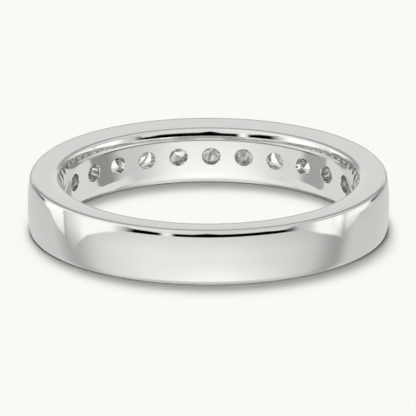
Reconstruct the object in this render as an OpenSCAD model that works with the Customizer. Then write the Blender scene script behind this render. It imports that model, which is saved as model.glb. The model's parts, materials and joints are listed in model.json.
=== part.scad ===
// Channel set band: a plain polished shank whose thicker head holds a row of
// round brilliants in a channel, with a round hole pierced under each stone.
// The band lies on its side: Z is the axis of the finger hole and +Y points
// from that axis to the middle of the head. The origin is the middle of the
// finger hole. All sizes are in millimetres.

/* [Finger hole] */
// Inside diameter of the band
finger_d = 17.3; // [15:0.1:21]
// Radius of the comfort rounding between the hole's wall and each side face
comfort_r = 0.6; // [0.3:0.05:0.8]

/* [Band] */
// Width of the band, from side face to side face
band_w = 3.25; // [3.1:0.05:4]
// Thickness of the shank
shank_t = 1.9; // [1.7:0.05:2.2]
// Thickness at the middle of the head
head_t = 2.6; // [2.4:0.05:3]
// Angle of the head's own arc, between the two shoulders
head_arc = 130; // [110:1:150]
// Rise of the outer face from its edges to its middle
face_rise = 0.12; // [0.05:0.01:0.25]
// Radius of the outer edges
edge_r = 0.34; // [0.15:0.01:0.5]

/* [Stones] */
// Number of stones in the row, an odd number
stone_count = 11; // [5:2:13]
// Diameter of a stone at its girdle
stone_d = 2.35; // [2.1:0.05:2.6]
// Width of the table as a share of the stone's diameter
table_share = 0.57; // [0.53:0.01:0.62]
// Angle of the crown's main facets
crown_angle = 34.5; // [32:0.5:36]
// Angle of the pavilion's main facets
pavilion_angle = 41; // [40:0.5:42]
// Thickness of the girdle
girdle_t = 0.06; // [0.04:0.01:0.1]
// Turn of each stone about its own axis, from one stone to the next
stone_turn = 17; // [0:1:44]

/* [Channel] */
// How far each channel wall reaches over the girdle
lip_bite = 0.17; // [0.1:0.01:0.25]
// How far the tables lie below the middle of the outer face
table_drop = 0.1; // [0.05:0.01:0.2]
// Gap between the girdles of two neighbouring stones
stone_gap = 0.1; // [0.05:0.01:0.2]
// Clearance between a stone and its bearing
seat_gap = 0.02; // [0.01:0.005:0.04]
// Gap between the last stone's girdle and the channel's end wall
end_gap = 0.1; // [0.05:0.01:0.3]
// Thickness of metal between the channel and the finger hole
floor_t = 0.55; // [0.4:0.05:0.8]
// Diameter of the hole pierced through that floor under each stone
pierce_d = 1.05; // [0.8:0.05:1.2]

/* [Hidden] */
$fn = 128;
overcut = 1;

finger_r = finger_d / 2;
outer_r = finger_r + shank_t;
half_w = band_w / 2;

// The outline is four arcs that run into each other smoothly: the shank's half
// circle about the origin, a flatter arc on each shoulder and a tighter one on
// the head. An arc's inset is how much smaller its radius is than the shank's.
head_rise = head_t - shank_t;
shoulder_angle = (180 - head_arc) / 2;
head_inset = head_rise * (tan(shoulder_angle) + 1 / cos(shoulder_angle) - 1) / 2;
shoulder_inset = -head_rise * (1 + head_rise / (2 * head_inset));
head_y = head_rise + head_inset;

// Section of the band: an arc for the outer face, and a smaller one at each edge
dome_r = (half_w * half_w + face_rise * face_rise) / (2 * face_rise);
dome_x = outer_r - dome_r;
dome_fn = 720;
edge_z = half_w - edge_r;
edge_reach = dome_r - edge_r;
edge_x = dome_x + sqrt(edge_reach * edge_reach - edge_z * edge_z);
edge_dir = [edge_x - dome_x, edge_z] / edge_reach;
blank_r = finger_r - head_rise - overcut;

// The stone, with its girdle's mid-plane at height 0
stone_r = stone_d / 2;
half_girdle = girdle_t / 2;
table_r = table_share * stone_r;
crown_h = (stone_r - table_r) * tan(crown_angle);
pavilion_h = stone_r * tan(pavilion_angle);
facets = 8;
facet_step = 360 / facets;
half_step = facet_step / 2;
star_length = 0.5;
lower_length = 0.77;
table_flat_r = table_r * cos(half_step);
star_r = table_flat_r + star_length * (stone_r - table_flat_r);
star_z = half_girdle + (stone_r - star_r * cos(half_step)) * tan(crown_angle);
lower_r = stone_r * (1 - lower_length);
lower_z = -half_girdle - (stone_r - lower_r * cos(half_step)) * tan(pavilion_angle);

// The row, set along the head's arc
girdle_r = outer_r - head_inset - table_drop - crown_h - half_girdle;
stone_pitch = 2 * asin((stone_d + stone_gap) / (2 * girdle_r));
last_stone = (stone_count - 1) / 2;
channel_half_angle = last_stone * stone_pitch + asin((stone_r + end_gap) / girdle_r);
channel_w = stone_d - 2 * lip_bite;

// The bearing follows the steepest crown facets and the pavilion, a clearance outside them
seat_r = stone_r + seat_gap;
seat_half_girdle = half_girdle + seat_gap;
lip_angle = atan((star_z - half_girdle) / (stone_r - star_r));

function stone_name(k) = str("stone_", k);

// Angle of stone k about the head's centre, with 0 at the middle of the head
function stone_angle(k) = (k - 1 - last_stone) * stone_pitch;

// A ring of points at radius r and height z
function ring_points(count, r, z, start = 0) =
    [for (i = [0:count - 1])
        let (a = start + i * 360 / count) [r * cos(a), r * sin(a), z]];

// Places its children at stone k, with the stone's axis pointing out of the head
module at_stone(k) {
    translate([0, head_y, 0])
        rotate([0, 0, -stone_angle(k)])
            translate([0, girdle_r, 0])
                rotate([-90, 0, 0])
                    children();
}

// What the rounding takes off one outer corner of the section
module edge_waste(side) {
    reach = 2 * edge_r;
    centre = [edge_x, side * edge_z];
    difference() {
        polygon([
            centre,
            centre + [0, side * reach],
            centre + [reach, side * reach],
            centre + reach * [edge_dir[0], side * edge_dir[1]],
        ]);
        translate(centre)
            circle(r = edge_r);
    }
}

// Section of the blank, from inside the finger hole out to the outer face
module blank_section() {
    difference() {
        intersection() {
            translate([dome_x, 0])
                circle(r = dome_r, $fn = dome_fn);
            translate([blank_r, -half_w])
                square([outer_r - blank_r + overcut, band_w]);
        }
        edge_waste(1);
        edge_waste(-1);
    }
}

// One arc of the blank, from start over sweep degrees about a centre
module blank_arc(centre, start, sweep, inset = 0) {
    translate(centre)
        rotate([0, 0, start])
            rotate_extrude(angle = sweep)
                translate([-inset, 0])
                    blank_section();
}

// The band before anything is cut out of it
module blank() {
    blank_arc([0, 0, 0], 180, 180);
    blank_arc([shoulder_inset, 0, 0], 0, shoulder_angle, shoulder_inset);
    blank_arc([0, head_y, 0], shoulder_angle, head_arc, head_inset);
    blank_arc([-shoulder_inset, 0, 0], shoulder_angle + head_arc, shoulder_angle, shoulder_inset);
}

// Section of the finger hole, flared by the comfort roundings
module hole_section() {
    flare_r = finger_r + comfort_r;
    flare_z = half_w - comfort_r;
    difference() {
        translate([0, -half_w - overcut])
            square([flare_r, band_w + 2 * overcut]);
        translate([finger_r, -flare_z])
            square([comfort_r + overcut, 2 * flare_z]);
        for (side = [-1, 1])
            translate([flare_r, side * flare_z])
                circle(r = comfort_r);
    }
}

// The slot between the channel walls, over a floor that follows the finger hole
module channel() {
    difference() {
        translate([0, head_y, 0])
            rotate([0, 0, 90 - channel_half_angle])
                rotate_extrude(angle = 2 * channel_half_angle)
                    translate([blank_r, -channel_w / 2])
                        square([outer_r - blank_r + overcut, channel_w]);
        cylinder(r = finger_r + floor_t, h = 2 * band_w, center = true);
    }
}

// The bearing cut for one stone, a clearance larger than the stone
module seat() {
    rotate_extrude()
        polygon([
            [0, -seat_half_girdle - seat_r * tan(pavilion_angle)],
            [seat_r, -seat_half_girdle],
            [seat_r, seat_half_girdle],
            [0, seat_half_girdle + seat_r * tan(lip_angle)],
        ]);
}

// The hole pierced under one stone, from its girdle down into the finger hole
module pierce() {
    depth = head_t + overcut;
    translate([0, 0, -depth])
        cylinder(d = pierce_d, h = depth);
}

module band() {
    color("gainsboro")
        difference() {
            blank();
            rotate_extrude()
                hole_section();
            channel();
            for (k = [1:stone_count])
                at_stone(k) {
                    seat();
                    pierce();
                }
        }
}

// A round brilliant: table, stars, kites, upper girdle facets, girdle,
// lower girdle facets and pavilion mains, down to a pointed culet
module brilliant() {
    rim = 2 * facets;
    star_at = facets;
    top_at = star_at + facets;
    bottom_at = top_at + rim;
    lower_at = bottom_at + rim;
    culet_at = lower_at + facets;
    points = concat(
        ring_points(facets, table_r, half_girdle + crown_h),
        ring_points(facets, star_r, star_z, half_step),
        ring_points(rim, stone_r, half_girdle),
        ring_points(rim, stone_r, -half_girdle),
        ring_points(facets, lower_r, lower_z, half_step),
        [[0, 0, -half_girdle - pavilion_h]]
    );
    table = [[for (i = [facets - 1:-1:0]) i]];
    stars = [for (i = [0:facets - 1])
        [i, (i + 1) % facets, star_at + i]];
    kites = [for (i = [0:facets - 1])
        [i, star_at + i, top_at + 2 * i, star_at + (i + facets - 1) % facets]];
    uppers = [for (i = [0:rim - 1])
        [star_at + floor(i / 2), top_at + (i + 1) % rim, top_at + i]];
    girdle = [for (i = [0:rim - 1])
        [top_at + i, top_at + (i + 1) % rim, bottom_at + (i + 1) % rim, bottom_at + i]];
    lowers = [for (i = [0:rim - 1])
        [lower_at + floor(i / 2), bottom_at + i, bottom_at + (i + 1) % rim]];
    mains = [for (i = [0:facets - 1])
        [culet_at, lower_at + (i + facets - 1) % facets, bottom_at + 2 * i, lower_at + i]];
    polyhedron(points, concat(table, stars, kites, uppers, girdle, lowers, mains));
}

module stone(k) {
    color("aliceblue")
        at_stone(k)
            rotate([0, 0, k * stone_turn])
                brilliant();
}

band();
for (k = [1:stone_count])
    stone(k);
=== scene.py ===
# %% [markdown]
# A channel set band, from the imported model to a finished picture
#
# The object is a finger ring: one polished metal band with a thicker head, and
# a row of eleven round brilliants held between the two walls of a channel.
# It lies on its side, so the camera looks over the plain shank at the inside of
# the head, where a round hole is pierced under each stone.
#
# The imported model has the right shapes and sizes, but its curves are cut into a
# few dozen flats, which a mirror shows at once. So the band is made again on the
# same lines with fine steps, and each stone is cut again from a round blank.

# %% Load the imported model
import json
import math

import bmesh
import bpy
from mathutils import Matrix, Vector


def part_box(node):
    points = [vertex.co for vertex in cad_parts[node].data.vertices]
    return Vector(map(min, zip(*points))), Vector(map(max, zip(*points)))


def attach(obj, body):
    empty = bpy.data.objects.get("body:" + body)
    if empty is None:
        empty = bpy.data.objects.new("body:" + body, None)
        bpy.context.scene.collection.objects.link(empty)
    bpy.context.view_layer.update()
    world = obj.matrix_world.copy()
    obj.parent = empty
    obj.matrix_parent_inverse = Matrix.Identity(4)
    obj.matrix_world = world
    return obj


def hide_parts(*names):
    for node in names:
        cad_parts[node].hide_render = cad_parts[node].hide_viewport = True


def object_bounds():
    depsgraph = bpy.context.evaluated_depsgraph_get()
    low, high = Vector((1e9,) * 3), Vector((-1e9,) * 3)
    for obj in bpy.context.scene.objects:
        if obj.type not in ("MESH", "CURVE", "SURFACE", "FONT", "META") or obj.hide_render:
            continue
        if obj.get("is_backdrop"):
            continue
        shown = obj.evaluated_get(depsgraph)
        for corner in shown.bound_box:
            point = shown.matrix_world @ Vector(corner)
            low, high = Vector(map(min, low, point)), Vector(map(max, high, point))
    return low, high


MM = 0.001


def in_mm(box):
    """The corners of a box in millimetres, to print."""
    return [round(v / MM, 3) for corner in box for v in corner]


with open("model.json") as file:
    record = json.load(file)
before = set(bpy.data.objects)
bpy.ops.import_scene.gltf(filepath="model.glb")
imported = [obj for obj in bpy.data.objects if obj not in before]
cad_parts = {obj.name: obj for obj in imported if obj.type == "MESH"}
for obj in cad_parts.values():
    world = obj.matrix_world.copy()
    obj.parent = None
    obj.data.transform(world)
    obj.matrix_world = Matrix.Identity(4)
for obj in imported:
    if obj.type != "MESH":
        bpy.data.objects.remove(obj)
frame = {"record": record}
cad_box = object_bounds()
print("box of the packed model in mm:", in_mm(cad_box))

# %% [markdown]
# The sizes
#
# A jeweller works in millimetres, and Blender's unit here is the metre, so every
# size is written in millimetres times MM. The finger hole's radius comes from the
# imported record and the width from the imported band. The rest repeats the values of
# the part's source, apart from the rounded edges, whose polish is drawn finer here.
# The outline is four arcs that run into each other: the shank's half circle, a
# flatter arc on each shoulder and a tighter one on the head.

# %% Sizes of the band
mounts = {m["name"]: m for m in frame["record"]["mounts"]}
finger_r = mounts["finger_hole"]["dims"]["r_mm"] * MM
half_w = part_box("band")[1].z
shank_t = 1.9 * MM
head_t = 2.6 * MM
head_arc = math.radians(130)
face_rise = 0.12 * MM
degree = math.radians(1)

outer_r = finger_r + shank_t
head_rise = head_t - shank_t
shoulder_arc = (math.pi - head_arc) / 2
head_inset = head_rise * (math.tan(shoulder_arc) + 1 / math.cos(shoulder_arc) - 1) / 2
head_y = head_rise + head_inset
shoulder_x = head_rise * (1 + head_rise / (2 * head_inset))
print(f"outside radius {outer_r / MM:.3f}, head's centre at y {head_y / MM:.3f},",
      f"shoulder centres at x {shoulder_x / MM:.3f} either side")

# %% Sizes of the outer face and of the three arcs that round each edge
dome_r = (half_w ** 2 + face_rise ** 2) / (2 * face_rise)
lip_r, tight_r, roll_r = 5.0 * MM, 0.1 * MM, 1.45 * MM
lip_turn, tight_turn = 3.5 * degree, 68.5 * degree
roll_z = (half_w - lip_r + (lip_r - tight_r) * math.cos(lip_turn)
          - (roll_r - tight_r) * math.cos(lip_turn + tight_turn))
lean = math.asin(roll_z / (dome_r - roll_r))
roll_turn = 90 * degree - lip_turn - tight_turn - lean
# Each arc: its radius, its turn, its steps
outer_half = [(lip_r, lip_turn, 3), (tight_r, tight_turn, 12), (roll_r, roll_turn, 8)]
print(f"the face leans {math.degrees(lean):.2f} degrees where the edge rounding starts")

# %% Sizes of the stones and of their row
stone_count = 11
stone_r = 2.35 * MM / 2
half_girdle = 0.06 * MM / 2
crown_angle = math.radians(34.5)
table_share = 0.57
table_r = table_share * stone_r
crown_h = (stone_r - table_r) * math.tan(crown_angle)
table_drop = 0.1 * MM
stone_gap = 0.1 * MM
girdle_r = outer_r - head_inset - table_drop - crown_h - half_girdle
stone_pitch = 2 * math.asin((2 * stone_r + stone_gap) / (2 * girdle_r))
print(f"pitch of the row {math.degrees(stone_pitch):.2f} degrees on a radius of {girdle_r / MM:.3f}")

# %% [markdown]
# Drawing by hand, in code
#
# A ring is drawn as a jeweller's template is: the section first, then its path.
# The section starts as one point. Spinning a point draws an arc, and extruding it
# draws a straight line. The finished section is then spun round the finger hole.
# Spin turns clockwise round its axis, so an axis that points down turns the
# section anticlockwise as it is seen from above.
#
# A new object is selected all over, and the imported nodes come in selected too,
# so each helper first lets go of everything.

# %% Helpers that select
def deselect():
    """Leaves edit mode and lets go of everything."""
    if bpy.context.mode != "OBJECT":
        bpy.ops.object.mode_set(mode="OBJECT")
    bpy.ops.object.select_all(action="DESELECT")


def choose(*pieces):
    """Selects these pieces and nothing else, the first one active."""
    deselect()
    for piece in pieces:
        piece.select_set(True)
    bpy.context.view_layer.objects.active = pieces[0]


def edit(piece):
    """Opens one piece in edit mode, with everything in it selected."""
    choose(piece)
    bpy.ops.object.mode_set(mode="EDIT")
    bpy.ops.mesh.select_mode(type="VERT")
    bpy.ops.mesh.select_all(action="SELECT")


# %% Helpers that draw a section
def start_point(name, x, z):
    """A new piece of one point in the plane of the section, open in edit mode."""
    deselect()
    bpy.ops.mesh.primitive_plane_add(size=MM, location=(x, 0, z), calc_uvs=False)
    piece = bpy.context.object
    piece.name = name
    bpy.ops.object.transform_apply(location=True)
    edit(piece)
    bpy.ops.mesh.merge(type="CENTER")
    bpy.ops.mesh.select_all(action="SELECT")
    return piece


def draw_line(x=0.0, z=0.0):
    """Draws the section on from its last point, by this much."""
    bpy.ops.mesh.extrude_vertices_move(TRANSFORM_OT_translate={"value": (x, 0, z)})


def draw_arc(x, z, angle, steps):
    """Draws the section on from its last point, round a centre in its plane."""
    bpy.ops.mesh.spin(steps=steps, angle=angle, center=(x, 0, z), axis=(0, 1, 0))


def travel(facing, arcs):
    """How far arcs that run into each other lead, each with a radius, a turn and steps."""
    x = z = 0
    for radius, turn, steps in arcs:
        x += radius * (math.cos(facing + turn) - math.cos(facing))
        z += radius * (math.sin(facing + turn) - math.sin(facing))
        facing += turn
    return x, z


def draw_arcs(x, z, facing, arcs):
    """Draws them on from the last point, where the surface faces this way."""
    for arc in arcs:
        radius, turn, steps = arc
        draw_arc(x - radius * math.cos(facing), z - radius * math.sin(facing), turn, steps)
        ahead = travel(facing, [arc])
        x, z, facing = x + ahead[0], z + ahead[1], facing + turn


# %% Helpers that sweep the section, close the piece and measure it
def sweep(x, y, angle, steps):
    """Takes the section on round an upright axis, anticlockwise from above."""
    bpy.ops.mesh.spin(steps=steps, angle=angle, center=(x, y, 0), axis=(0, 0, -1))


def close_up():
    """Joins the points that lie on each other, and points the faces outwards."""
    bpy.ops.mesh.select_all(action="SELECT")
    bpy.ops.mesh.remove_doubles(threshold=0.002 * MM)
    bpy.ops.mesh.normals_make_consistent(inside=False)


def measure(piece):
    """Prints a mesh's faces, open edges and volume."""
    deselect()
    mesh = bmesh.new()
    mesh.from_mesh(piece.data)
    loose = sum(len(edge.link_faces) != 2 for edge in mesh.edges)
    print(f"{piece.name}: {len(mesh.faces)} faces, {loose} open edges,",
          f"{mesh.calc_volume(signed=True) / MM ** 3:.2f} cubic mm")
    mesh.free()


# %% [markdown]
# The outer face
#
# On the real ring the outside is turned and then polished by hand, so the face is
# very slightly domed and runs over a soft edge into each flat side. A softer edge
# could be made with a bevel afterwards, but drawn in the section it is the same
# all the way round, and a mirror finish shows any change of radius. The buff makes
# an edge of three arcs: a very flat lip on the side face, the tight rounding, and
# a wider roll that leads from it into the face.

# %% Draw the outer face and take it round the four arcs
outer_arcs = outer_half + [(dome_r, 2 * lean, 10)] + outer_half[::-1]
start_x = outer_r - dome_r * (1 - math.cos(lean)) - travel(-90 * degree, outer_half)[0]
band = start_point("band_metal", start_x, -half_w)
draw_arcs(start_x, -half_w, -90 * degree, outer_arcs)
bpy.ops.mesh.select_all(action="SELECT")

shank_steps, shoulder_steps, head_steps = 320, 40, 240
sweep(-shoulder_x, 0, shoulder_arc, shoulder_steps)
sweep(0, head_y, head_arc, head_steps)
sweep(shoulder_x, 0, shoulder_arc, shoulder_steps)
sweep(0, 0, math.pi, shank_steps)
close_up()
measure(band)

# %% [markdown]
# The finger hole
#
# The inside is a cylinder whose two ends are rounded over, so that the band slides
# over a knuckle. The buff makes this rounding run out slowly: a flat lip on the
# side face, the tight rounding itself, a wider and a much wider one, and a wall that
# is a few hundredths of a millimetre higher in its middle. A mirror shows each of
# them, so the section is drawn as nine arcs that run into each other. It is spun in
# as many steps as the outside, and the flat side faces are then only a bridge
# between the two rows of points at each end.

# %% Draw the finger hole
# Each arc of the upper half: its radius, its turn, its steps
hole_half = [(5.0 * MM, 4 * degree, 3), (0.106 * MM, 69.5 * degree, 12),
             (2.41 * MM, 7.4 * degree, 8), (2.9 * MM, 6.6 * degree, 8)]
flare_x, flare_z = travel(90 * degree, hole_half)
wall_lean = 90 * degree - sum(turn for radius, turn, steps in hole_half)
wall_arc_r = (half_w + flare_z) / math.sin(wall_lean)
flare_x -= wall_arc_r * (1 - math.cos(wall_lean))
hole_arcs = hole_half + [(wall_arc_r, 2 * wall_lean, 8)] + hole_half[::-1]
hole = start_point("finger_hole", finger_r - flare_x, half_w)
draw_arcs(finger_r - flare_x, half_w, 90 * degree, hole_arcs)
bpy.ops.mesh.select_all(action="SELECT")
sweep(0, 0, 2 * math.pi, shank_steps + 2 * shoulder_steps + head_steps)
close_up()
print(f"the hole flares by {-flare_x / MM:.3f} mm, its wall has a radius of {wall_arc_r / MM:.1f} mm")

# %% Bridge the flat side faces
# A point this close to a plane or an axis counts as lying on it
near = 0.01 * MM
choose(band, hole)
bpy.ops.object.join()
for side in (1, -1):
    edit(band)
    bpy.ops.mesh.select_mode(type="EDGE")
    bpy.ops.mesh.select_all(action="DESELECT")
    mesh = bmesh.from_edit_mesh(band.data)
    for line in mesh.edges:
        line.select = line.is_boundary and abs(line.verts[0].co.z - side * half_w) < near
    bmesh.update_edit_mesh(band.data)
    bpy.ops.mesh.bridge_edge_loops()
close_up()
measure(band)

# %% [markdown]
# Cutting the channel, the bearings and the pierced holes
#
# The setter saws the slot between the two channel walls, cuts a bearing for each
# girdle into both walls, and drills a hole under each stone, so that light and
# soap can get in. Each cut has its own tool here too, and a Boolean takes it away.
# The Manifold solver is the one that is used: the pieces are closed, and it keeps
# the fine mesh and the untouched faces as they are.

# %% A helper that cuts one piece with another
def cut(piece, tool, operation="DIFFERENCE"):
    """Cuts a piece with a tool, or adds the tool to it, and clears the tool away."""
    choose(piece)
    step = piece.modifiers.new("cut", "BOOLEAN")
    step.operation, step.solver, step.object = operation, "MANIFOLD", tool
    bpy.ops.object.modifier_apply(modifier=step.name)
    bpy.data.objects.remove(tool)


# %% Saw the slot between the channel walls
lip_bite = 0.17 * MM
floor_t = 0.55 * MM
end_gap = 0.1 * MM
channel_w = 2 * (stone_r - lip_bite)
last_stone = (stone_count - 1) // 2
channel_half = last_stone * stone_pitch + math.asin((stone_r + end_gap) / girdle_r)
saw_reach = 2 * head_t
saw_steps = 240

saw = start_point("saw", finger_r + floor_t, -channel_w / 2)
draw_line(x=saw_reach)
draw_line(z=channel_w)
draw_line(x=-saw_reach)
draw_line(z=-channel_w)
bpy.ops.mesh.select_all(action="SELECT")
sweep(0, 0, math.pi, saw_steps)
close_up()
for side in (1, -1):
    bpy.ops.mesh.select_all(action="SELECT")
    bpy.ops.mesh.bisect(
        plane_co=(0, head_y, 0),
        plane_no=(side * math.cos(channel_half), -math.sin(channel_half), 0),
        use_fill=True, clear_outer=True, threshold=1e-7)
close_up()
measure(saw)
cut(band, saw)
measure(band)

# %% [markdown]
# A stone's place is its own small frame: the middle of its girdle on the row's
# arc, and its axis pointing out of the head. The bearing bur and the drill share
# that axis. The bur starts as a flat disc, and the middle of each end is pulled
# out to a point, which gives it the cone of the pavilion below and the slope of
# the crown above.

# %% A stone's place, and helpers that set copies there
def out_of_head(x, y, angle, height):
    """The frame at a height along a line from (x, y), at an angle from the head's middle."""
    return (Matrix.Translation((x, y, 0)) @ Matrix.Rotation(-angle, 4, "Z")
            @ Matrix.Translation((0, height, 0)) @ Matrix.Rotation(-math.pi / 2, 4, "X"))


def stone_angle(k):
    """Angle of stone k about the head's centre, 0 at the middle of the row."""
    return (k - 1 - last_stone) * stone_pitch


def stone_place(k):
    """The frame of stone k, with the middle of its girdle at the origin."""
    return out_of_head(0, head_y, stone_angle(k), girdle_r)


def copy_to(piece, name, place):
    """A copy with a mesh of its own, whose place is then put into that mesh."""
    copy = piece.copy()
    copy.data = piece.data.copy()
    copy.name = copy.data.name = name
    bpy.context.scene.collection.objects.link(copy)
    copy.matrix_world = place
    choose(copy)
    bpy.ops.object.transform_apply(location=True, rotation=True, scale=True)
    return copy


def row_of(piece, places):
    """One piece made of a copy at each place."""
    copies = [copy_to(piece, f"{piece.name}_{i}", place) for i, place in enumerate(places)]
    bpy.data.objects.remove(piece)
    choose(*copies)
    bpy.ops.object.join()
    return copies[0]


# %% Sizes of a bearing, which follows the steepest facets of the stone
facets = 8
half_step = math.pi / facets
star_length = 0.5
table_flat = table_r * math.cos(half_step)
star_r = table_flat + star_length * (stone_r - table_flat)
star_z = half_girdle + (stone_r - star_r * math.cos(half_step)) * math.tan(crown_angle)
lip_angle = math.atan((star_z - half_girdle) / (stone_r - star_r))
pavilion_angle = math.radians(41)
seat_gap = 0.02 * MM
seat_r = stone_r + seat_gap
print(f"bearing of radius {seat_r / MM:.3f}, its lip slopes by {math.degrees(lip_angle):.1f} degrees")


# %% Make the bur
def pull_middle(piece, side, distance):
    """Pulls the middle point of a disc's upper or lower end out to a cone."""
    edit(piece)
    bpy.ops.mesh.select_all(action="DESELECT")
    mesh = bmesh.from_edit_mesh(piece.data)
    for point in mesh.verts:
        point.select = point.co.xy.length < near and point.co.z * side > 0
    bmesh.update_edit_mesh(piece.data)
    bpy.ops.transform.translate(value=(0, 0, side * distance))


tool_sides = 128
deselect()
bpy.ops.mesh.primitive_cylinder_add(vertices=tool_sides, radius=seat_r, calc_uvs=False,
                                    depth=2 * (half_girdle + seat_gap), end_fill_type="TRIFAN")
bur = bpy.context.object
bur.name = "bur"
pull_middle(bur, 1, seat_r * math.tan(lip_angle))
pull_middle(bur, -1, seat_r * math.tan(pavilion_angle))
measure(bur)

# %% Cut the bearings and drill the holes
pierce_r = 1.05 * MM / 2
drill_depth = head_t + MM
stones = range(1, stone_count + 1)
deselect()
bpy.ops.mesh.primitive_cylinder_add(vertices=tool_sides, radius=pierce_r, calc_uvs=False,
                                    depth=drill_depth, location=(0, 0, -drill_depth / 2))
cut(bur, bpy.context.object, "UNION")
burs = row_of(bur, [stone_place(k) for k in stones])
measure(burs)
cut(band, burs)
measure(band)

# %% [markdown]
# Where a drill breaks through the wall of the finger hole it leaves a sharp rim,
# which a small cone bur takes off. The cone stands square to the wall, not along
# the drill, so the broken edge has the same width all round.

# %% Break the rims of the pierced holes
rim_break = 0.012 * MM
cone_h = 0.3 * MM
cone_sides = 96


def rim_place(k):
    """The frame where the drill of stone k meets the wall of the finger hole."""
    angle = stone_angle(k)
    along = -head_y * math.cos(angle) + math.sqrt(finger_r ** 2 - (head_y * math.sin(angle)) ** 2)
    x, y = along * math.sin(angle), head_y + along * math.cos(angle)
    return out_of_head(0, 0, math.atan2(x, y), finger_r)


deselect()
bpy.ops.mesh.primitive_cone_add(
    vertices=cone_sides, radius1=pierce_r + rim_break + cone_h, radius2=pierce_r - rim_break,
    depth=cone_h + 2 * rim_break, location=(0, 0, rim_break - cone_h / 2), calc_uvs=False)
cone = bpy.context.object
cone.name = "cone"
bpy.ops.object.transform_apply(location=True)
cut(band, row_of(cone, [rim_place(k) for k in stones]))
measure(band)

# %% [markdown]
# Shading of the metal
#
# Neighbouring facets of the mesh are shaded as one smooth skin, and edges sharper
# than 30 degrees stay crisp. Weighted normals let the large flat faces keep their
# own direction where a rounding meets them, as a lapped side face does.

# %% Smooth the band
choose(band)
bpy.ops.object.shade_smooth_by_angle(angle=30 * degree)
weigh = band.modifiers.new("weigh", "WEIGHTED_NORMAL")
weigh.keep_sharp = True
bpy.ops.object.modifier_apply(modifier=weigh.name)
corners = [[pick(point.co[i] for point in band.data.vertices) for i in range(3)] for pick in (min, max)]
print("box of the finished band in mm:", in_mm(corners))

# %% [markdown]
# The stones
#
# A round brilliant is cut from a round blank, one flat after another, each at its
# own angle and each to its own depth. The same is done here: a drum with 96 sides
# is bisected by the plane of each facet, and what stands outside the plane is cut
# off. The planes come from the corners where facets meet. The upper and lower
# girdle facets scallop the girdle by themselves, as they do on a real stone.

# %% Helpers that find a corner and cut a facet
def corner(radius, eighths, z):
    """A point of the stone, its turn counted in eighths of a circle."""
    turn = eighths * 2 * half_step
    return Vector((radius * math.cos(turn), radius * math.sin(turn), z))


def cut_facet(a, b, c):
    """Cuts away what lies outside the plane through three corners of the stone."""
    across = (b - a).cross(c - a).normalized()
    if across.dot(a) < 0:
        across = -across
    bpy.ops.mesh.select_all(action="SELECT")
    bpy.ops.mesh.bisect(plane_co=a, plane_no=across, use_fill=True, clear_outer=True, threshold=1e-8)


# %% Start with a drum
lower_length = 0.77
lower_r = (1 - lower_length) * stone_r
lower_z = -half_girdle - (stone_r - lower_r * math.cos(half_step)) * math.tan(pavilion_angle)
top_z = half_girdle + crown_h
culet = Vector((0, 0, -half_girdle - stone_r * math.tan(pavilion_angle)))
drum_sides = 96
deselect()
bpy.ops.mesh.primitive_cylinder_add(
    vertices=drum_sides, radius=stone_r, depth=top_z - culet.z,
    location=(0, 0, (top_z + culet.z) / 2), calc_uvs=False)
brilliant = bpy.context.object
brilliant.name = "brilliant"
bpy.ops.object.transform_apply(location=True)
measure(brilliant)

# %% Cut its facets: kites and mains first, then stars and the girdle's facets
edit(brilliant)
for i in range(facets):
    star, lower = corner(star_r, i + 0.5, star_z), corner(lower_r, i + 0.5, lower_z)
    cut_facet(corner(table_r, i, top_z), corner(stone_r, i, half_girdle), star)
    cut_facet(culet, corner(stone_r, i, -half_girdle), lower)
for i in range(facets):
    star, lower = corner(star_r, i + 0.5, star_z), corner(lower_r, i + 0.5, lower_z)
    cut_facet(corner(table_r, i, top_z), corner(table_r, i + 1, top_z), star)
    for start in (i, i + 0.5):
        ends = start, start + 0.5
        cut_facet(star, *[corner(stone_r, end, half_girdle) for end in ends])
        cut_facet(lower, *[corner(stone_r, end, -half_girdle) for end in ends])
bpy.ops.mesh.select_all(action="SELECT")
bpy.ops.mesh.normals_make_consistent(inside=False)
measure(brilliant)

# %% Set a stone in each bearing
stone_turn = 17
choose(brilliant)
bpy.ops.object.shade_smooth_by_angle(angle=5 * degree)
brilliants = []
for k in stones:
    turn = Matrix.Rotation(stone_turn * k * degree, 4, "Z")
    brilliants.append(copy_to(brilliant, f"brilliant_{k}", stone_place(k) @ turn))
bpy.data.objects.remove(brilliant)
print("stones set:", len(brilliants))

# %% [markdown]
# Sums on sockets
#
# A material is a small sum that is worked out at every point of the surface. The
# class below wraps one socket, so that the sum can be written as one line of
# Python and still becomes Math nodes. Every other node comes from its one method,
# which takes the node's kind, its settings, and the values or links of its sockets.

# %% A wire that can be added and multiplied
class Wire:
    """A socket of a node tree, to do sums with."""

    def __init__(self, tree, socket=None):
        self.tree, self.socket = tree, socket

    def node(self, kind, settings, sockets, out=0):
        """Adds a node: first its settings, then the values or links of its sockets."""
        made = self.tree.nodes.new(kind)
        for name, value in settings.items():
            if name == "stops":
                ramp = made.color_ramp.elements
                while len(ramp) < len(value):
                    ramp.new(0.5)
                for stop, (at, grey) in zip(ramp, value):
                    stop.position, stop.color = at, (grey, grey, grey, 1)
            else:
                setattr(made, name, value)
        for name, value in sockets.items():
            if isinstance(value, Wire):
                self.tree.links.new(value.socket, made.inputs[name])
            else:
                made.inputs[name].default_value = value
        return Wire(self.tree, made.outputs[out] if made.outputs else None)

    def maths(self, operation, a, b=0.0):
        """Adds one Math node."""
        return self.node("ShaderNodeMath", {"operation": operation}, {0: a, 1: b})

    def __add__(self, other):
        return self.maths("ADD", self, other)

    def __sub__(self, other):
        return self.maths("SUBTRACT", self, other)

    def __rsub__(self, other):
        return self.maths("SUBTRACT", other, self)

    def __mul__(self, other):
        return self.maths("MULTIPLY", self, other)

    def __truediv__(self, other):
        return self.maths("DIVIDE", self, other)

    def __abs__(self):
        return self.maths("ABSOLUTE", self)

    __radd__, __rmul__ = __add__, __mul__


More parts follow.
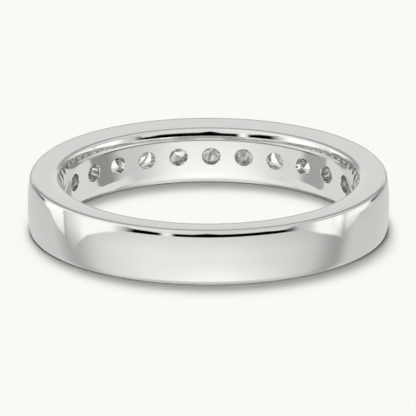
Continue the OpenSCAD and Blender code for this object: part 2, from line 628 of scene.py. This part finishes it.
# %% Helpers that fade, blend, mix and start a material
def fade(value, start, end):
    """0 at start, 1 at end, and a soft slope between the two."""
    return value.node("ShaderNodeMapRange", {"interpolation_type": "SMOOTHSTEP"},
                      {"Value": value, "From Min": start, "From Max": end})


def blend(mask, first, second):
    """The first value or wire where the mask is 0, the second where it is 1."""
    return first * (1 - mask) + second * mask


def mix(share, first, second):
    """A colour between two, which are given as red, green and blue."""
    return share.node("ShaderNodeMix", {"data_type": "RGBA"},
                      {"Factor": share, 6: (*first, 1), 7: (*second, 1)}, out=2)


def new_material(name):
    """Makes a material, and gives it with a wire to start its sums and the place on the piece."""
    material = bpy.data.materials.new(name)
    material.use_nodes = True
    material.node_tree.nodes.clear()
    wire = Wire(material.node_tree)
    return material, wire, wire.node("ShaderNodeTexCoord", {}, {}, out="Object")


# %% [markdown]
# Polished white gold
#
# The metal is white and very clean, with a mirror polish. Up close such a polish is
# never perfect: the buff leaves the skin a little uneven over a millimetre or two,
# and the last compound leaves fine hairlines. Both are here as a faint bump, and the
# hairlines make the roughness change a little too. The colour is the reflectance of
# the metal, a little warmer where the polish is thinner. The inside of the hole is
# painted a little whiter than the outside, which stands in for the brighter light it mirrors.

# %% Make the metal
def noise(where, scale, detail=2.0, roughness=0.5):
    """Soft random values from 0 to 1, so many to the metre."""
    return where.node("ShaderNodeTexNoise", {}, {"Vector": where, "Scale": scale, "Detail": detail,
                                                 "Roughness": roughness})


def stretched(where, scale, turn=(0, 0, 0)):
    """The place on the piece, stretched to draw lines and turned."""
    return where.node("ShaderNodeMapping", {}, {"Vector": where, "Scale": scale, "Rotation": turn})


metal, wire, where = new_material("polished white gold")
buffing = noise(where, 700, 1.0)
first_rub = noise(stretched(where, (1, 1, 30), (0.05, 0.03, 0)), 9000, 3.0, 0.6)
second_rub = noise(stretched(where, (1, 1, 22), (-0.2, 0.3, 0.4)), 6000, 3.0, 0.6)
hairlines = (first_rub + second_rub) * 0.5
bump = wire.node("ShaderNodeBump", {}, {"Height": buffing + hairlines * 0.02, "Strength": 1.0,
                                        "Distance": 0.0008 * MM})

# The distance from the hole's axis in millimetres, which tells the inside from the outside
from_axis = wire.node("ShaderNodeVectorMath", {"operation": "LENGTH"},
                      {0: stretched(where, (1 / MM, 1 / MM, 0))}, out=1)
# Painted light: the inside of the hole is a little whiter, for the brighter light it mirrors
inside = fade(from_axis, 9.4, 8.9)
colour = mix(fade(buffing, 0.3, 0.7) * 0.1 + inside * 0.9, (0.805, 0.800, 0.790), (0.880, 0.876, 0.866))
shader = wire.node("ShaderNodeBsdfPrincipled", {},
                   {"Base Color": colour, "Metallic": 1.0, "Roughness": 0.03 + 0.03 * hairlines,
                    "Normal": bump})
wire.node("ShaderNodeOutputMaterial", {}, {"Surface": shader})
print("metal:", len(metal.node_tree.nodes), "nodes")

# %% [markdown]
# The stones' two finishes
#
# The facets are polished diamond: clear, with the high index that turns light back
# inside the stone. The girdle is left as it was ground, a frosted white band. Both
# are on one piece, and the faces that stand upright in the stone's frame take the
# second finish.

# %% Make the two finishes of the stones
diamond_index = 2.417
diamond, wire, where = new_material("diamond facets")
clouds = noise(where, 900)
colour = mix(clouds, (1.0, 0.99, 0.975), (0.98, 0.965, 0.945))
shader = wire.node("ShaderNodeBsdfPrincipled", {},
                   {"Base Color": colour, "Roughness": 0.02 * fade(clouds, 0.6, 0.9),
                    "IOR": diamond_index, "Transmission Weight": 1.0})
wire.node("ShaderNodeOutputMaterial", {}, {"Surface": shader})

ground, wire, where = new_material("ground girdle")
grit = noise(where, 60000, 3.0, 0.7)
bump = wire.node("ShaderNodeBump", {}, {"Height": grit, "Strength": 0.6, "Distance": 0.004 * MM})
colour = mix(grit, (0.86, 0.86, 0.85), (0.98, 0.98, 0.97))
shader = wire.node("ShaderNodeBsdfPrincipled", {},
                   {"Base Color": colour, "Roughness": 0.5 + 0.2 * grit, "IOR": diamond_index,
                    "Transmission Weight": 1.0, "Normal": bump})
wire.node("ShaderNodeOutputMaterial", {}, {"Surface": shader})
print("stones:", len(diamond.node_tree.nodes), "and", len(ground.node_tree.nodes), "nodes")

# %% Give each piece its finish
band.data.materials.clear()
band.data.materials.append(metal)
for k, piece in zip(stones, brilliants):
    axis = stone_place(k).to_3x3() @ Vector((0, 0, 1))
    piece.data.materials.clear()
    piece.data.materials.append(diamond)
    piece.data.materials.append(ground)
    for face in piece.data.polygons:
        face.material_index = 1 if abs(face.normal.dot(axis)) < 0.01 else 0
ground_faces = sum(face.material_index for face in brilliants[0].data.polygons)
print("ground faces on the first stone:", ground_faces)

# %% [markdown]
# The studio
#
# Polished metal has no look of its own: it shows the room. A ring like this is
# photographed in a tent of white panels with a low black card on the camera's
# side, which draws the dark line along the front edge. The room is written as the
# world's light, by compass direction and height. It could be built of real panels,
# but then each of them would need a place that no view of the ring can see.

# %% Directions in the room
world = bpy.data.worlds.new("studio")
bpy.context.scene.world = world
world.use_nodes = True
world.node_tree.nodes.clear()
wire = Wire(world.node_tree)
look = wire.node("ShaderNodeTexCoord", {}, {}, out="Generated")


def split(place):
    """The three coordinates of a place or a direction, each as a wire."""
    parts = place.node("ShaderNodeSeparateXYZ", {}, {"Vector": place}).socket.node
    return [Wire(place.tree, socket) for socket in parts.outputs]


def compass_of(x, y):
    """The compass direction in degrees: 0 is towards the camera, -90 left, 90 right."""
    return x.maths("ARCTAN2", x, 0 - y) * math.degrees(1)


def round_the_room(*stops, along):
    """Values by compass direction, each stop a direction in degrees and its value."""
    return along.node("ShaderNodeValToRGB", {"stops": [(at / 360 + 0.5, grey) for at, grey in stops]},
                      {"Fac": along})


x, y, z = split(look)
compass = compass_of(x, y)
height = wire.maths("ARCSINE", z) * math.degrees(1)
around = compass / 360 + 0.5
print("directions:", len(world.node_tree.nodes), "nodes")

# %% [markdown]
# The panels stand all round the ring, with a grey joint on each side and a black
# card towards the camera, which one bright slit crosses. The last panel on the
# right leans, and both sides get darker towards the table. Each panel starts at
# the sill, where the table ends, and reaches up to the sheet that hangs overhead.
# A ramp holds values from 0 to 1 only, so a brighter light gets a factor, and a
# height is a share of the lowest or the highest one.

# %% Light the panels
slope = 0.6 * height
leaning = around - slope * fade(compass, 95, 110) * fade(compass, 160, 140) / 360
white, grey, card = 0.94, 0.5, 0.0
panels = 1.25 * round_the_room(
    (-180, 0.64), (-127, grey), (-122, white), (-104, white), (-102.5, 0.4), (-101, 0.6), (-90, 0.8),
    (-84, white), (-63, white), (-54, grey), (-47, card), (-30, card), (-27.5, 0.85), (-23, 0.85),
    (-20.5, card), (50, card), (55, 0.15), (60, grey), (68, 0.6), (75, white), (83, white), (92, 0.8),
    (97, grey), (101, 0.7), (121, 0.7), (127, grey), (150, grey), (180, 0.64), along=leaning)
lower_left = fade(compass, -84, -90) * fade(compass, -126, -120)
lower_right = fade(compass, 86, 94) * fade(compass, 135, 122)
panels = panels * blend(lower_left, 1, blend(fade(height, -22, -8), 0.65, 1.03))
panels = panels * blend(lower_right, 1, blend(fade(height, -16.5, -7.5), 0.72, 1.3))
print("with the panels:", len(world.node_tree.nodes), "nodes")

# %% Set where the panels start and end
lowest, highest = -30, 90
sill = lowest * round_the_room(
    (-180, 0.33), (-120, 0.4), (-114.8, 0.47), (-110, 0.53), (-105, 0.57), (-101, 0.62), (-97, 0.77),
    (-93, 0.66), (-82, 0.46), (-69, 0.33), (-60, 0.26), (-45, 0.14), (-30, 0.1), (30, 0.1), (45, 0.14),
    (60, 0.2), (75, 0.37), (90, 0.5), (96, 0.57), (100.4, 0.473), (107.2, 0.417), (113, 0.363),
    (125, 0.33), (180, 0.33), along=around)
head_room = highest * round_the_room(
    (-180, 0.26), (-150, 0.27), (-135, 0.2), (-126, 0.1), (-121, 0.6), (-75, 0.6), (-62, 0.5),
    (-50, 0.12), (-38, 0.12), (-30, 0.095), (-9, 0.105), (0, 0.16), (8, 0.12), (38, 0.115),
    (46, 0.085), (52, 0.08), (60, 0.2), (75, 0.24), (120, 0.26), (150, 0.27), (180, 0.26), along=around)
print("with the sill and the head room:", len(world.node_tree.nodes), "nodes")

# %% Light the sheet overhead
overhead = round_the_room(
    (-180, 0.8), (-130, 1.0), (-30, 0.9), (0, 0.8), (45, 0.85), (90, 0.5), (120, 0.5), (150, 0.8),
    (180, 0.8), along=around)
print("with the sheet:", len(world.node_tree.nodes), "nodes")

# %% [markdown]
# The table is brightest towards the camera and greyer behind. At both sides the
# light on it dips, the right side is a little darker, and close to the ring, so
# lower in its mirror, the table glows a little to the right of the camera. Each of
# these is one soft step or two. Together they come near the light that the ring in
# the photograph mirrors.

# %% Light the table
sideways = abs(compass)
in_front, behind = 0.98, 0.7
left_dip = 0.22 * fade(compass, -70, -97) * fade(compass, -120, -98)
right_dip = 0.18 * fade(compass, 68, 90) * fade(compass, 110, 92)
right_shade = 0.12 * fade(compass, 5, 45) * fade(compass, 105, 92)
table_light = blend(fade(sideways, 30, 105), in_front, behind) - left_dip - right_dip - right_shade
glow = 0.18 * fade(abs(compass - 10), 65, 0)
table_light = (table_light + glow * fade(height, -19, -34)) * (1 - 0.15 * fade(height, -17, -4))
under_ring = 0.65
table_light = blend(fade(height, -38, -50), table_light, under_ring)
print("with the table:", len(world.node_tree.nodes), "nodes")

# %% [markdown]
# The wall behind the ring is where the flat lips and the roundings take their fine
# lines from. A dark line runs along it at 20 to 27 degrees, and is lower and fainter
# in the middle. Below it the wall is greyer, and a short dark strip stands at each
# end, low down.

# %% Draw the dark lines on the wall behind
line_at_ends = 0.92 * fade(height, 19.5, 20.5) * fade(height, 27, 24)
line_in_middle = 0.5 * fade(height, 18.7, 19.5) * fade(height, 24, 22)
dark_line = fade(sideways, 120, 145) * blend(fade(sideways, 160, 170), line_at_ends, line_in_middle)
strips = 0.9 * fade(sideways, 124, 128) * fade(sideways, 153, 148)
strips = strips * fade(height, -6, -4.5) * fade(height, 9, 7)
low_behind = 0.45 * fade(sideways, 140, 165) * fade(height, 17.5, 10)
print("with the wall behind:", len(world.node_tree.nodes), "nodes")

# %% [markdown]
# A stone needs contrast to sparkle, and this room is too even for it. So light that
# has passed through a stone meets the same room with grey patches over it.

# %% Put the room together
room = blend(fade(height - head_room, -2, 2), panels, overhead)
room = room * (1 - dark_line) * (1 - low_behind) * (1 - strips)
room = blend(fade(height - sill, 0.5, -0.5), room, table_light)
in_stone = wire.node("ShaderNodeLightPath", {}, {}, out="Is Transmission Ray")
patches = fade(noise(look, 7, 1.0), 0.42, 0.58)
room = room * blend(in_stone, 1, blend(patches, 0.35, 1.05))

brightest = 1.5
black, lamp_white = (0, 0, 0), (1.0, 0.995, 0.98)
tint = mix(room / brightest, black, lamp_white)
light = wire.node("ShaderNodeBackground", {}, {"Color": tint, "Strength": brightest})
wire.node("ShaderNodeOutputWorld", {}, {"Surface": light})
world.cycles_visibility.diffuse = False
print("studio:", len(world.node_tree.nodes), "nodes")

# %% [markdown]
# The table and the light on it
#
# The table is a plain pale sheet. It shows only its colour and the soft shadow of
# the ring, so the mirror takes its reflection of the table from the room, and the
# lamps over the table light the sheet alone.

# %% Lay the table
table, wire, where = new_material("pale table")
colour = mix(noise(where, 300), (0.850, 0.842, 0.812), (0.854, 0.846, 0.816))
shader = wire.node("ShaderNodeBsdfDiffuse", {}, {"Color": colour})
wire.node("ShaderNodeOutputMaterial", {}, {"Surface": shader})
deselect()
bpy.ops.mesh.primitive_plane_add(size=4, location=(0, 0, -half_w))
sheet = bpy.context.object
sheet.name = "table_sheet"
bpy.ops.object.transform_apply(location=True)
sheet.data.materials.append(table)
sheet.visible_glossy = False
sheet.visible_transmission = False
sheet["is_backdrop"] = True
print("table:", [round(side, 2) for side in sheet.dimensions], "m")

# %% [markdown]
# The collar under the hole
#
# Inside the ring the metal mirrors a small patch of table that its own walls close
# in, with their shadow on it. The table can't be in the mirror twice, so a glowing
# collar hangs below it, as wide as the hole, and that table and its shadow are
# painted into its light. Only rays that leave the inside of the ring can reach it.
# Its light goes round it in a few soft steps, darker towards both sides, with a
# painted dark patch of shade on each side of the head and a painted shadow at its
# top, where the ring stands on the table.

# %% Hang the collar
collar_painted_glow, wire, where = new_material("collar painted glow")
x, y, z = split(where)
turn = compass_of(x, y)
sideways = abs(turn)
depth = (-half_w - z) / MM
# The painted dark patch of shade on the right leans, by so many degrees for each millimetre down
slant = 3.3 * (depth - 2)
leaning = turn + fade(turn, 115, 140) * slant
# Painted shade: the collar's light is darker to the right and has a dark patch on each side of the head
right_shade = 0.12 * fade(leaning, 30, 100) * fade(leaning, 158, 150)
left_painted_shade = 0.35 * fade(turn, -110, -124) * fade(turn, -158, -151)
right_painted_shade = 0.33 * fade(leaning, 105, 130) * fade(leaning, 155, 150)
light = 1 - 0.24 * fade(sideways, 20, 100) - right_shade - left_painted_shade - right_painted_shade
# Towards the camera it is brighter further down, and a painted shadow darkens it just under the ring
painted_contact_shadow = fade(depth, 0.8, 0.45) * fade(sideways, 145, 120)
light = light * (1 + 0.025 * (depth - 4) * fade(sideways, 100, 50)) * (1 - 0.7 * painted_contact_shadow)
# Under the head its lower part is plain
light = blend(fade(depth, 4.6, 5.1) * fade(sideways, 90, 110), light, 0.8)
tint = mix(light / brightest, black, lamp_white)
# Painted reflection: the collar glows with the table and the ring's shadow painted into its light,
# though it is no lamp
shader = wire.node("ShaderNodeBsdfPrincipled", {},
                   {"Base Color": (*black, 1), "Specular IOR Level": 0.0, "Emission Color": tint,
                    "Emission Strength": brightest})
wire.node("ShaderNodeOutputMaterial", {}, {"Surface": shader})

collar_h = 9 * MM
collar_sides = 128
deselect()
bpy.ops.mesh.primitive_cylinder_add(
    vertices=collar_sides, radius=finger_r, depth=collar_h, end_fill_type="NOTHING",
    location=(0, 0, -half_w - collar_h / 2), calc_uvs=False)
collar = bpy.context.object
collar.name = "collar"
bpy.ops.object.transform_apply(location=True)
collar.data.materials.append(collar_painted_glow)
for ray in ("camera", "diffuse", "transmission", "shadow"):
    setattr(collar, f"visible_{ray}", False)
collar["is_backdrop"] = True
print("collar:", len(collar_painted_glow.node_tree.nodes), "nodes")

# %% [markdown]
# The lamps stand in a row, from low behind the ring to a little in front of it, so
# its shadow falls towards the camera. They are wide, which gives the shadow a soft
# end, and those behind the ring lean a little to the left. One large lamp would be
# simpler, but a row sets how dark the shadow is at each distance from the ring.

# %% Hang the lamps
# Each lamp: its tilt to the back and its lean to the left in degrees, and its share of the light
lamps = [(33, 4, 0.10), (28, 4, 0.16), (22.5, 4, 0.18), (17, 4, 0.14), (9, 0, 0.08), (-8, 0, 0.17),
         (-22, 0, 0.17)]
light_on_table = 3.54
for i, (back, left, share) in enumerate(lamps):
    lamp_data = bpy.data.lights.new(f"lamp_{i}", "SUN")
    lamp_data.energy = light_on_table * share / math.cos(back * degree)
    lamp_data.angle = 22 * degree
    lamp = bpy.data.objects.new(f"lamp_{i}", lamp_data)
    bpy.context.scene.collection.objects.link(lamp)
    lamp.rotation_euler = (-back * degree, -left * degree, 0)
    lamp.visible_glossy = False
    lamp.visible_transmission = False
print("lamps:", len(lamps), "with", round(sum(share for back, left, share in lamps), 2), "of the light")

# %% Let light turn often enough inside the stones, and keep the ring's glints off the table
cycles = bpy.context.scene.cycles
cycles.max_bounces = cycles.glossy_bounces = cycles.transmission_bounces = 24
cycles.caustics_reflective = cycles.caustics_refractive = False
print("bounces:", cycles.max_bounces)

# %% [markdown]
# The camera
#
# The photograph was taken from about a metre away with a long lens, 18 degrees
# above the table, so nearby and far edges look almost the same size. The ring lies
# a little above the middle of the frame.

# %% Set up the camera
image_width = 416
pixel = MM / 17.13
# Where the camera aims, in pixels of the photograph from the middle of the finger hole
aim_right, aim_above = -0.5, -5.7
rise, swing, far = 18.2 * degree, 1.05 * degree, 1.0
towards = Vector((math.sin(swing) * math.cos(rise), -math.cos(swing) * math.cos(rise), math.sin(rise)))
right = Vector((math.cos(swing), math.sin(swing), 0))
above = towards.cross(right)
aim = aim_right * pixel * right + aim_above * pixel * above
camera_data = bpy.data.cameras.new("camera")
camera_data.sensor_width = 36
camera_data.lens = camera_data.sensor_width * far / (image_width * pixel)
camera_data.clip_start, camera_data.clip_end = 0.05, 20
camera = bpy.data.objects.new("camera", camera_data)
bpy.context.scene.collection.objects.link(camera)
camera.location = aim + far * towards
camera.rotation_euler = towards.to_track_quat("Z", "Y").to_euler()
bpy.context.scene.camera = camera
bpy.context.scene.view_settings.view_transform = "Standard"
print(f"lens {camera_data.lens:.0f} mm, above the table by {(camera.location.z + half_w) / MM:.0f} mm")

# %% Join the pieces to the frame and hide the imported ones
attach(band, "root")
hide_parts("band")
for k, piece in zip(stones, brilliants):
    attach(piece, "root")
    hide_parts(f"stone_{k}")

deselect()
new_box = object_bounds()
print("box of the finished ring in mm:", in_mm(new_box))
